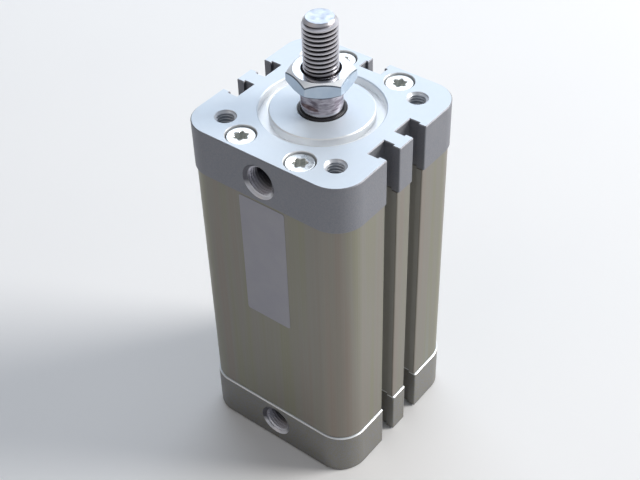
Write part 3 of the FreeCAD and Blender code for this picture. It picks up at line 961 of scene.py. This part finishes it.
mesh = bmesh.new()
add_turned(mesh, [
    (wiper_inner, wiper_bottom), (wiper_inner + lip_foot, wiper_bottom),
    (lip_groove_inner, wiper_bottom + lip_groove_depth), (lip_groove_outer, wiper_bottom + lip_groove_depth),
    (wiper_seat - lip_foot, wiper_bottom), (wiper_seat, wiper_bottom), (wiper_seat, wiper_shoulder),
    (wiper_neck, wiper_shoulder),
    *((wiper_neck - inset, wiper_top - drop) for inset, drop in wiper_outer_rounding),
    *((wiper_inner + inset, wiper_top - drop) for inset, drop in wiper_inner_rounding),
    (wiper_inner, wiper_bottom),
], rod_sides)
wiper = finish_piece(mesh, "rod_wiper_ring", [rubber], sharp_angle=40.0)
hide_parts("rod_wiper_seal")
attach(wiper, "cylinder_body")


# Rod guide bush: a plain sleeve of sintered bronze that carries the rod inside the front cap.
# It is pressed to size, soaked in oil and pressed into its seat behind the wiper seal.
bush_inner, bush_outer, bush_bottom, bush_top, bush_edge = 6.03, 7.5, 98.8, 108.6, 0.5

# Sintered bronze: brown gold and porous, with pores of 0.1 mm drawn at 0.3 mm so that they show.
bronze = mottled("sintered_bronze", 0.3, ("7a5a34", "b08a54"), (0.55, 0.35), Metallic=1.0)

mesh = bmesh.new()
add_turned(mesh, [
    (bush_inner, bush_bottom), (bush_outer - bush_edge, bush_bottom), (bush_outer, bush_bottom + bush_edge),
    (bush_outer, bush_top), (bush_inner, bush_top), (bush_inner, bush_bottom),
], rod_sides)
bush = finish_piece(mesh, "rod_bearing_bush", [bronze])
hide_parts("rod_guide_bush")
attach(bush, "cylinder_body")


# Tube seals: a nitrile O-ring at each end, laid in the step of the tube and pressed by the cap.
# Each is moulded, so it is the same rubber as the wiper.
seal_middle, seal_half_thickness = 20.775, 0.73
seal_heights = 16.0, 99.0
section_sides = 16


def ring_section(middle, height, half_thickness):
    """Round section of an O-ring as (radius, height) points, closed."""
    section = circle(1, section_sides) + [(1, 0)]
    return [(middle + half_thickness * x, height + half_thickness * z) for x, z in section]


for name, node_name, height in (
    ("rear_sealing_ring", "rear_tube_o_ring", seal_heights[0]),
    ("front_sealing_ring", "front_tube_o_ring", seal_heights[1]),
):
    mesh = bmesh.new()
    add_turned(mesh, ring_section(seal_middle, height, seal_half_thickness), bore_sides)
    sealing_ring = finish_piece(mesh, name, [rubber], sharp_angle=60.0)
    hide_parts(node_name)
    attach(sealing_ring, "cylinder_body")


# End bumpers: a ring of polyurethane in the pocket of each cap that stops the piston softly.
# It is moulded with four holes, one of which lies over the air passage, and is glued in.
bumper_inner, bumper_outer, bumper_thickness, bumper_edge = 10.4, 16.35, 2.1, 0.2
bumper_hole, bumper_hole_from_axis = 2.1, 13.2

# Moulded polyurethane: a dull translucent amber that looks nearly opaque at this thickness.
urethane = mottled("moulded_polyurethane", 2.5, ("8a6a3c", "a98752"), (0.40, 0.55), IOR=1.5)

holes = [circle(bumper_hole, hole_sides, x, y) for x, y in circle(bumper_hole_from_axis, 4)]
flat_rims = [circle(bumper_outer - bumper_edge, bore_sides), circle(bumper_inner + bumper_edge, bore_sides)]
for name, node_name, bottom in (
    ("rear_end_bumper", "rear_bumper", pocket_floor),
    ("front_end_bumper", "front_bumper", body_length - pocket_floor - bumper_thickness),
):
    top = bottom + bumper_thickness
    mesh = bmesh.new()
    for z in (bottom, top):
        add_flat(mesh, flat_rims + holes, lambda x, y: (x, y, z))
    for hole in holes:
        add_walls(mesh, [at_height(hole, bottom), at_height(hole, top)])
    for radius, edge in ((bumper_outer, -bumper_edge), (bumper_inner, bumper_edge)):
        add_turned(mesh, [
            (radius + edge, bottom), (radius, bottom + bumper_edge),
            (radius, top - bumper_edge), (radius + edge, top),
        ], bore_sides)
    bumper = finish_piece(mesh, name, [urethane])
    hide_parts(node_name)
    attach(bumper, "cylinder_body")


# Piston rod: steel bar, ground and hard chromed, with two spanner flats under the shoulder and a rolled
# M10 thread on its end, drawn at the pitch that the photograph shows. The rear end is stepped to carry
# the piston and tapped for its bolt.
rod_radius = 6.0
shoulder, rod_tip = 122.0, 144.0
shoulder_edge = 0.5
flats_half, flats_start, flats_turn = 5.0, 117.5, math.radians(-94)
turned_start = 116.5
undercut_radius, undercut_end = 4.6, 126.8
rod_minor, rod_major, rod_pitch, rod_crest = 4.1, 5.0, 1.36, 0.30
thread_start, thread_end = 127.2, 143.85
lead_radius, lead_slope = 3.98, 0.667
thread_turn = 24 * 2 * math.pi / rod_sides
drill_point, drill_tip = 0.05, 38.5
rod_rear = [
    (drill_point, drill_tip), (2.55, 37.0), (2.55, 20.6), (2.85, 20.3), (3.8, 20.3), (4.0, 20.5), (4.0, 25.5),
    (5.7, 25.5), (rod_radius, 25.8), (rod_radius, turned_start),
]
bar_end = [(lead_radius, thread_end), (3.9, 143.95), (3.8, 143.99), (3.6, rod_tip)]
CHROMED, TURNED, BAR_END = 0, 1, 2

# Hard chrome and rolled thread: a mirror on the bar, with faint rings left by grinding, finer than
# 0.1 mm but drawn 0.3 mm wide so that they show. The thread is duller, and painted shade darkens its roots,
# reaching less high where the lead of the thread narrows.
rod_chrome, tree, shader = new_material("ground_hard_chromed_steel", Metallic=1.0)
lead_top, lead_bottom = 143.0 * MM, 141.8 * MM
# Radius from the axis below which painted shade darkens the thread roots, on the lead and on the full thread,
# and how far it fades.
root_shade_on_lead, root_shade_on_thread, root_shade_fade = 4.06 * MM, 4.84 * MM, 0.30 * MM
ring_width, ring_reach = 0.3 * MM, 50 / 3 * MM
place = add_node(tree, "ShaderNodeTexCoord").outputs["Object"]
axes = add_node(tree, "ShaderNodeSeparateXYZ", {0: place}).outputs
flat = add_node(tree, "ShaderNodeCombineXYZ", {"X": axes["X"], "Y": axes["Y"]})
from_axis = add_node(tree, "ShaderNodeVectorMath", {0: flat.outputs[0]}, operation="LENGTH")
dark_below = add_node(tree, "ShaderNodeMapRange", {
    "Value": axes["Z"], "From Min": lead_top, "From Max": lead_bottom,
    "To Min": root_shade_on_lead, "To Max": root_shade_on_thread,
})
black_below = add_node(
    tree, "ShaderNodeMath", {0: dark_below.outputs[0], 1: root_shade_fade}, operation="SUBTRACT",
)
# Painted shade: 1 in the thread roots, 0 on the crests.
painted_recess_shade = add_node(tree, "ShaderNodeMapRange", {
    "Value": from_axis.outputs["Value"],
    "From Min": dark_below.outputs[0], "From Max": black_below.outputs[0], "To Min": 0.0, "To Max": 1.0,
})
ring_map = add_node(tree, "ShaderNodeMapping", {
    "Vector": place, "Scale": (1 / ring_reach, 1 / ring_reach, 1 / ring_width),
})
rings = add_node(
    tree, "ShaderNodeTexNoise", {"Vector": ring_map.outputs[0], "Scale": 1.0, "Detail": 3.0},
)
plating = add_node(
    tree, "ShaderNodeMix",
    {0: rings.outputs["Fac"], 6: linear("b5b2b6"), 7: linear("d4d2d6")},
    data_type="RGBA",
)
# The painted shade in the roots mixes the plating towards near black.
base = add_node(
    tree, "ShaderNodeMix",
    {0: painted_recess_shade.outputs[0], 6: plating.outputs[2], 7: linear("3e3a3e")},
    data_type="RGBA",
)
on_thread = add_node(tree, "ShaderNodeMapRange", {
    "Value": axes["Z"], "From Min": shoulder * MM, "From Max": (shoulder + 0.5) * MM,
    "To Min": 0.10, "To Max": 0.40,
})
scratches = add_node(
    tree, "ShaderNodeBump", {"Height": rings.outputs["Fac"], "Strength": 0.04, "Distance": 0.1 * MM},
)
tree.links.new(base.outputs[2], shader.inputs["Base Color"])
tree.links.new(on_thread.outputs[0], shader.inputs["Roughness"])
tree.links.new(scratches.outputs[0], shader.inputs["Normal"])

# Turned steel: the end of the bar is turned and milled after the chroming, so it is bare, with a faint
# plum cast, and smeared with oil.
turned_steel, tree, shader = new_material("turned_and_milled_steel", Metallic=0.9)
place = add_node(tree, "ShaderNodeTexCoord").outputs["Object"]
ring_width, ring_reach = 0.35 * MM, 12.5 * MM
ring_map = add_node(tree, "ShaderNodeMapping", {
    "Vector": place, "Scale": (1 / ring_reach, 1 / ring_reach, 1 / ring_width),
})
rings = add_node(
    tree, "ShaderNodeTexNoise", {"Vector": ring_map.outputs[0], "Scale": 1.0, "Detail": 3.0},
)
smear_width, smear_height = 2.6 * MM, 0.8 * MM
smear_map = add_node(tree, "ShaderNodeMapping", {
    "Vector": place, "Scale": (1 / smear_width, 1 / smear_width, 1 / smear_height),
})
smears = add_node(
    tree, "ShaderNodeTexNoise", {"Vector": smear_map.outputs[0], "Scale": 1.0, "Detail": 3.0},
)
smeared = add_node(
    tree, "ShaderNodeMapRange",
    {"Value": smears.outputs["Fac"], "From Min": 0.38, "From Max": 0.62, "To Min": 0.0, "To Max": 1.0},
)
base = add_node(
    tree, "ShaderNodeMix",
    {0: smeared.outputs[0], 6: linear("82777f"), 7: linear("c9c1c6")},
    data_type="RGBA",
)
rough = add_node(
    tree, "ShaderNodeMapRange",
    {"Value": rings.outputs["Fac"], "From Min": 0.3, "From Max": 0.7, "To Min": 0.26, "To Max": 0.36},
)
tree.links.new(base.outputs[2], shader.inputs["Base Color"])
tree.links.new(rough.outputs[0], shader.inputs["Roughness"])

# Bar end: faced off with a tool and handled since, so it is bright but blotchy.
end_steel = mottled("faced_and_handled_steel", 1.8, ("848c9c", "e0e6ee"), (0.40, 0.25), Metallic=1.0)


def flattened_ring(radius, z):
    """Ring round the rod, cut by the spanner flats."""
    points = []
    for x, y in circle(1, rod_sides):
        reach = min(radius, flats_half / max(abs(x), 0.1))
        points.append((reach * x, reach * y, z))
    return points


mesh = bmesh.new()
add_turned(mesh, rod_rear, rod_sides, CHROMED)
add_walls(mesh, [
    at_height(circle(rod_radius, rod_sides), turned_start),
    at_height(circle(rod_radius, rod_sides), flats_start),
    flattened_ring(rod_radius, flats_start),
    flattened_ring(rod_radius, shoulder - shoulder_edge),
    flattened_ring(rod_radius - shoulder_edge, shoulder),
    at_height(circle(undercut_radius, rod_sides), shoulder),
], slot=TURNED)
add_turned(mesh, [
    (undercut_radius, shoulder), (undercut_radius, undercut_end), (rod_minor, thread_start),
], rod_sides, CHROMED)
add_flat(mesh, [circle(drill_point, rod_sides)], lambda x, y: (x, y, drill_tip), CHROMED)
rod_thread = cut_thread(
    OUTER_THREAD, (rod_minor, rod_major), rod_pitch, (thread_start, thread_end), (rod_minor, lead_radius),
    rod_sides, rod_chrome, slopes=(1.0, lead_slope), crest=rod_crest,
)
rod_thread.transform(Matrix.Rotation(thread_turn, 4, "Z"))
add_grown(mesh, rod_thread, CHROMED)
add_turned(mesh, bar_end, rod_sides, BAR_END)
add_flat(mesh, [circle(bar_end[-1][0], rod_sides)], lambda x, y: (x, y, rod_tip), BAR_END)
bmesh.ops.rotate(mesh, verts=mesh.verts, cent=(0, 0, 0), matrix=Matrix.Rotation(flats_turn, 3, "Z"))
rod = finish_piece(mesh, "piston_rod_bar", [rod_chrome, turned_steel, end_steel])
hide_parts("piston_rod")
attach(rod, "rod_and_piston")


# Piston halves: two turned aluminium discs that clamp the magnet and the wear strip between them.
# Each has a groove for a lip seal, and a hollow that the end bumper of its side goes into.
piston_middle = 22.5
piston_rim = [
    (10.2, 17.5), (10.2, 14.9), (15.6, 14.9), (15.6, 17.5), (19.8, 17.5), (19.8, 18.2), (16.4, 18.2),
    (16.4, 20.3), (19.8, 20.3), (19.8, 21.0), (14.5, 21.0), (14.5, piston_middle),
]
rear_hub = [(4.03, piston_middle), (4.03, 20.0), (6.2, 20.0), (6.2, 17.5)]
front_hub = [
    (4.03, piston_middle), (4.03, 23.3), (5.3, 23.3), (5.3, 24.9), (4.03, 24.9), (4.03, 25.5),
    (6.03, 25.5), (6.03, 27.5),
]


def mirrored(profile):
    """A (radius, height) profile mirrored about the middle of the piston."""
    return [(radius, 2 * piston_middle - z) for radius, z in profile]


for name, node_name, profile in (
    ("piston_rear_disc", "piston_rear_half", rear_hub + piston_rim),
    ("piston_front_disc", "piston_front_half", front_hub + mirrored(piston_rim)),
):
    mesh = bmesh.new()
    add_turned(mesh, profile + profile[:1], bore_sides)
    disc = finish_piece(mesh, name, [machined_metal])
    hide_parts(node_name)
    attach(disc, "rod_and_piston")


# Piston magnet: a ring of bonded ferrite between the piston halves, which the sensors in the slots read.
# It is pressed from powder in a binder, magnetised, and held by the clamped discs.
magnet_inner, magnet_outer, magnet_bottom, magnet_top, magnet_edge = 14.55, 18.0, 21.0, 24.0, 0.2

# Bonded ferrite: charcoal and dull, with a grain of 0.2 mm drawn at 0.4 mm so that it shows.
ferrite = mottled("bonded_ferrite", 0.4, ("2c2b2d", "48474a"), (0.65, 0.45), IOR=1.6)

mesh = bmesh.new()
add_turned(mesh, [
    (magnet_inner, magnet_bottom), (magnet_outer - magnet_edge, magnet_bottom),
    (magnet_outer, magnet_bottom + magnet_edge), (magnet_outer, magnet_top - magnet_edge),
    (magnet_outer - magnet_edge, magnet_top), (magnet_inner, magnet_top), (magnet_inner, magnet_bottom),
], bore_sides)
magnet = finish_piece(mesh, "piston_sensor_magnet", [ferrite])
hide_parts("piston_magnet_ring")
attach(magnet, "rod_and_piston")


# Piston wear strip: a slit ring of filled fluoropolymer that carries the piston on the bore.
# It is skived from a bar, cut to length with a small gap and sprung into place over the magnet.
strip_inner, strip_outer, strip_bottom, strip_top, strip_gap = 18.05, 19.95, 21.05, 23.95, 0.6

# Filled fluoropolymer: bronze brown and waxy, with faint streaks round the ring from skiving.
strip_plastic = mottled(
    "skived_filled_fluoropolymer", (20, 20, 0.3), ("5b4a38", "77644e"), (0.35, 0.50), IOR=1.38,
)

mesh = bmesh.new()
gap_angle = strip_gap / 2 / strip_outer
corners = (
    (strip_inner, strip_bottom), (strip_outer, strip_bottom),
    (strip_outer, strip_top), (strip_inner, strip_top),
)
sections = []
for step in range(bore_sides + 1):
    angle = gap_angle + (2 * math.pi - 2 * gap_angle) * step / bore_sides
    sections.append([(radius * math.cos(angle), radius * math.sin(angle), z) for radius, z in corners])
add_walls(mesh, sections)
for section in (sections[0], sections[-1]):
    mesh.faces.new([mesh.verts.new(point) for point in section])
strip = finish_piece(mesh, "piston_wear_strip", [strip_plastic])
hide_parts("piston_guide_ring")
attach(strip, "piston_seals")


# Piston seals: two moulded nitrile lip seals, back to back, one for the air on each side.
# Each is stretched over its disc into the groove, and its lip presses on the bore.
lip_seal = [
    (16.45, 18.25), (17.15, 18.25), (17.95, 19.15), (18.45, 19.15), (19.25, 18.25), (19.95, 18.25),
    (19.95, 18.75), (19.7, 20.25), (16.45, 20.25),
]
for name, node_name, profile in (
    ("piston_rear_lip", "piston_seal_rear", lip_seal),
    ("piston_front_lip", "piston_seal_front", mirrored(lip_seal)),
):
    mesh = bmesh.new()
    add_turned(mesh, profile + profile[:1], bore_sides)
    lip = finish_piece(mesh, name, [rubber], sharp_angle=40.0)
    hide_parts(node_name)
    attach(lip, "piston_seals")


# Piston bolt and its seal: a socket screw that clamps both discs on the rod, cold headed and zinc plated,
# and a small nitrile O-ring in the front disc that keeps air from passing along the rod.
bolt_head, bolt_head_bottom, bolt_head_top, bolt_head_edge = 4.7, 16.3, 20.0, 0.4
bolt_minor, bolt_major, bolt_pitch = 2.1, 2.5, 0.8
bolt_tip, bolt_end = 1.6, 36.0
bolt_socket, bolt_socket_depth = 2.3, 2.4
static_ring_middle, static_ring_height, static_ring_half_thickness = 4.65, 24.1, 0.6
mesh = bmesh.new()
hexagon = circle(bolt_socket, 6)
bolt_socket_floor = bolt_head_bottom + bolt_socket_depth
add_flat(mesh, [hexagon], lambda x, y: (x, y, bolt_socket_floor))
add_walls(mesh, [at_height(hexagon, bolt_head_bottom), at_height(hexagon, bolt_socket_floor)])
head_rim = circle(bolt_head - bolt_head_edge, screw_sides)
add_flat(mesh, [head_rim, hexagon], lambda x, y: (x, y, bolt_head_bottom))
add_turned(mesh, [
    (bolt_head - bolt_head_edge, bolt_head_bottom), (bolt_head, bolt_head_bottom + bolt_head_edge),
    (bolt_head, bolt_head_top), (bolt_minor, bolt_head_top),
], screw_sides)
add_grown(mesh, cut_thread(
    OUTER_THREAD, (bolt_minor, bolt_major), bolt_pitch, (bolt_head_top, bolt_end), (bolt_minor, bolt_tip),
    screw_sides, screw_zinc,
), PLATED)
add_flat(mesh, [circle(bolt_tip, screw_sides)], lambda x, y: (x, y, bolt_end))
bolt = finish_piece(mesh, "piston_clamp_bolt", [screw_zinc])
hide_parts("piston_bolt")
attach(bolt, "rod_and_piston")

mesh = bmesh.new()
add_turned(
    mesh, ring_section(static_ring_middle, static_ring_height, static_ring_half_thickness), screw_sides,
)
static_ring = finish_piece(mesh, "piston_static_ring", [rubber], sharp_angle=60.0)
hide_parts("piston_o_ring")
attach(static_ring, "rod_and_piston")


# Rod end nut: thin hexagon nut, 17 mm across flats, that locks what is screwed on the rod.
# Cut from hexagon bar, chamfered on both faces, tapped and blue zinc plated.
nut_half, nut_bottom, nut_top = 8.5, 123.1, 128.1
nut_face, nut_mouth, nut_burr = 7.8, 5.7, 0.22
nut_minor, nut_major = 4.66, 5.05
nut_chamfer = math.radians(30)
nut_turn = math.radians(-50)
nut_sides = 96

# Blue zinc: a bluish silver with cloudy patches of the passivation on the sides. The flat faces are smooth
# enough to mirror the rod, the turned chamfers are paler and more matt, the sharp edges are painted dark
# as shade along them, and the tapped hole is painted dark as shade inside the nut.
nut_finishes = [
    mottled("blue_zinc_plated_steel", 2.2, ("c4d4e4", "e2eaf2"), (0.30, 0.42), detail=4.0, Metallic=1.0),
    mottled("ground_and_zinc_plated_steel", 1.5, ("e2eaf2", "f2f6fa"), (0.12, 0.20), Metallic=1.0),
    mottled("turned_and_zinc_plated_steel", 1.5, ("eef2f6", "f8fafc"), (0.34, 0.46), Metallic=0.4),
    # Painted shade along the sharp edges.
    mottled("zinc_edge_painted_shade", 1.5, ("56636f", "6e7a86"), (0.40, 0.50), Metallic=0.8),
    # Painted shade inside the tapped hole.
    mottled("tapped_steel_painted_shade", 1.5, ("34323a", "5a565e"), (0.28, 0.42), Metallic=0.7),
]
NUT_SIDE, NUT_FACE, NUT_CHAMFER, NUT_EDGE, NUT_HOLE = 0, 1, 2, 3, 4


def hexagon_ring(lift, direction, inset=0.0, lower=0.0):
    """Edge where a hexagon side meets the 30 degree chamfer of a nut face, moved in or along the side."""
    points = []
    for side in range(nut_sides):
        angle = 2 * math.pi * side / nut_sides
        from_flat = (math.degrees(angle) + 30) % 60 - 30
        radius = nut_half / math.cos(math.radians(from_flat)) - inset
        drop = (radius - nut_face) * math.tan(nut_chamfer) + lower
        points.append((radius * math.cos(angle), radius * math.sin(angle), lift + direction * drop))
    return points


mesh = bmesh.new()
nut_rings = [
    at_height(circle(nut_mouth, nut_sides), nut_bottom), at_height(circle(nut_face, nut_sides), nut_bottom),
    hexagon_ring(nut_bottom, 1, nut_burr), hexagon_ring(nut_bottom, 1, 0, nut_burr),
    hexagon_ring(nut_top, -1, 0, nut_burr), hexagon_ring(nut_top, -1, nut_burr),
    at_height(circle(nut_face, nut_sides), nut_top), at_height(circle(nut_mouth, nut_sides), nut_top),
]
for first, slot in enumerate(
    (NUT_FACE, NUT_CHAMFER, NUT_EDGE, NUT_SIDE, NUT_EDGE, NUT_CHAMFER, NUT_FACE),
):
    add_walls(mesh, nut_rings[first:first + 2], slot=slot)
add_grown(mesh, cut_thread(
    TAPPED_HOLE, (nut_minor, nut_major), rod_pitch, (nut_bottom, nut_top), (nut_mouth, nut_mouth),
    nut_sides, nut_finishes[NUT_HOLE],
), NUT_HOLE)
bmesh.ops.rotate(mesh, verts=mesh.verts, cent=(0, 0, 0), matrix=Matrix.Rotation(nut_turn, 3, "Z"))
nut = finish_piece(mesh, "rod_lock_nut", nut_finishes, sharp_angle=20.0)
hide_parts("rod_end_nut")
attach(nut, "rod_nut")


# Label: a blank die-cut sticker of silver polyester film on the port face of the tube.
# It is pressed on by its adhesive and lies flat on the anodised wall.
label_half_width, label_half_length, label_round = 8.0, 21.95, 0.8
label_from_top = 16.1
label_middle = body_length - label_from_top - label_half_length
label_thickness, label_edge, label_edge_depth = 0.1, 0.06, 0.05
label_steps = 6

# Silver film: a satin lilac grey, faintly mottled.
film = mottled("silver_polyester_film", 5, ("8f8e97", "9f9ea3"), (0.36, 0.46), Metallic=0.55)


def label_outline(inset):
    """Rounded rectangle of the sticker."""
    points = []
    for quarter in range(4):
        middle = math.radians(90 * quarter + 45)
        centre_x = math.copysign(label_half_width - label_round, math.cos(middle))
        centre_z = math.copysign(label_half_length - label_round, math.sin(middle))
        for step in range(label_steps + 1):
            angle = math.radians(90 * (quarter + step / label_steps))
            reach = label_round - inset
            points.append((
                centre_x + reach * math.cos(angle), label_middle + centre_z + reach * math.sin(angle),
            ))
    return points


mesh = bmesh.new()
edge, face = label_outline(0), label_outline(label_edge)
front = -tube_half - label_thickness
add_flat(mesh, [edge], lambda x, z: (x, -tube_half, z))
add_walls(mesh, [
    [(x, -tube_half, z) for x, z in edge],
    [(x, front + label_edge_depth, z) for x, z in edge],
    [(x, front, z) for x, z in face],
])
add_flat(mesh, [face], lambda x, z: (x, front, z))
label = finish_piece(mesh, "blank_label", [film])
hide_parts("name_label")
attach(label, "cylinder_body")
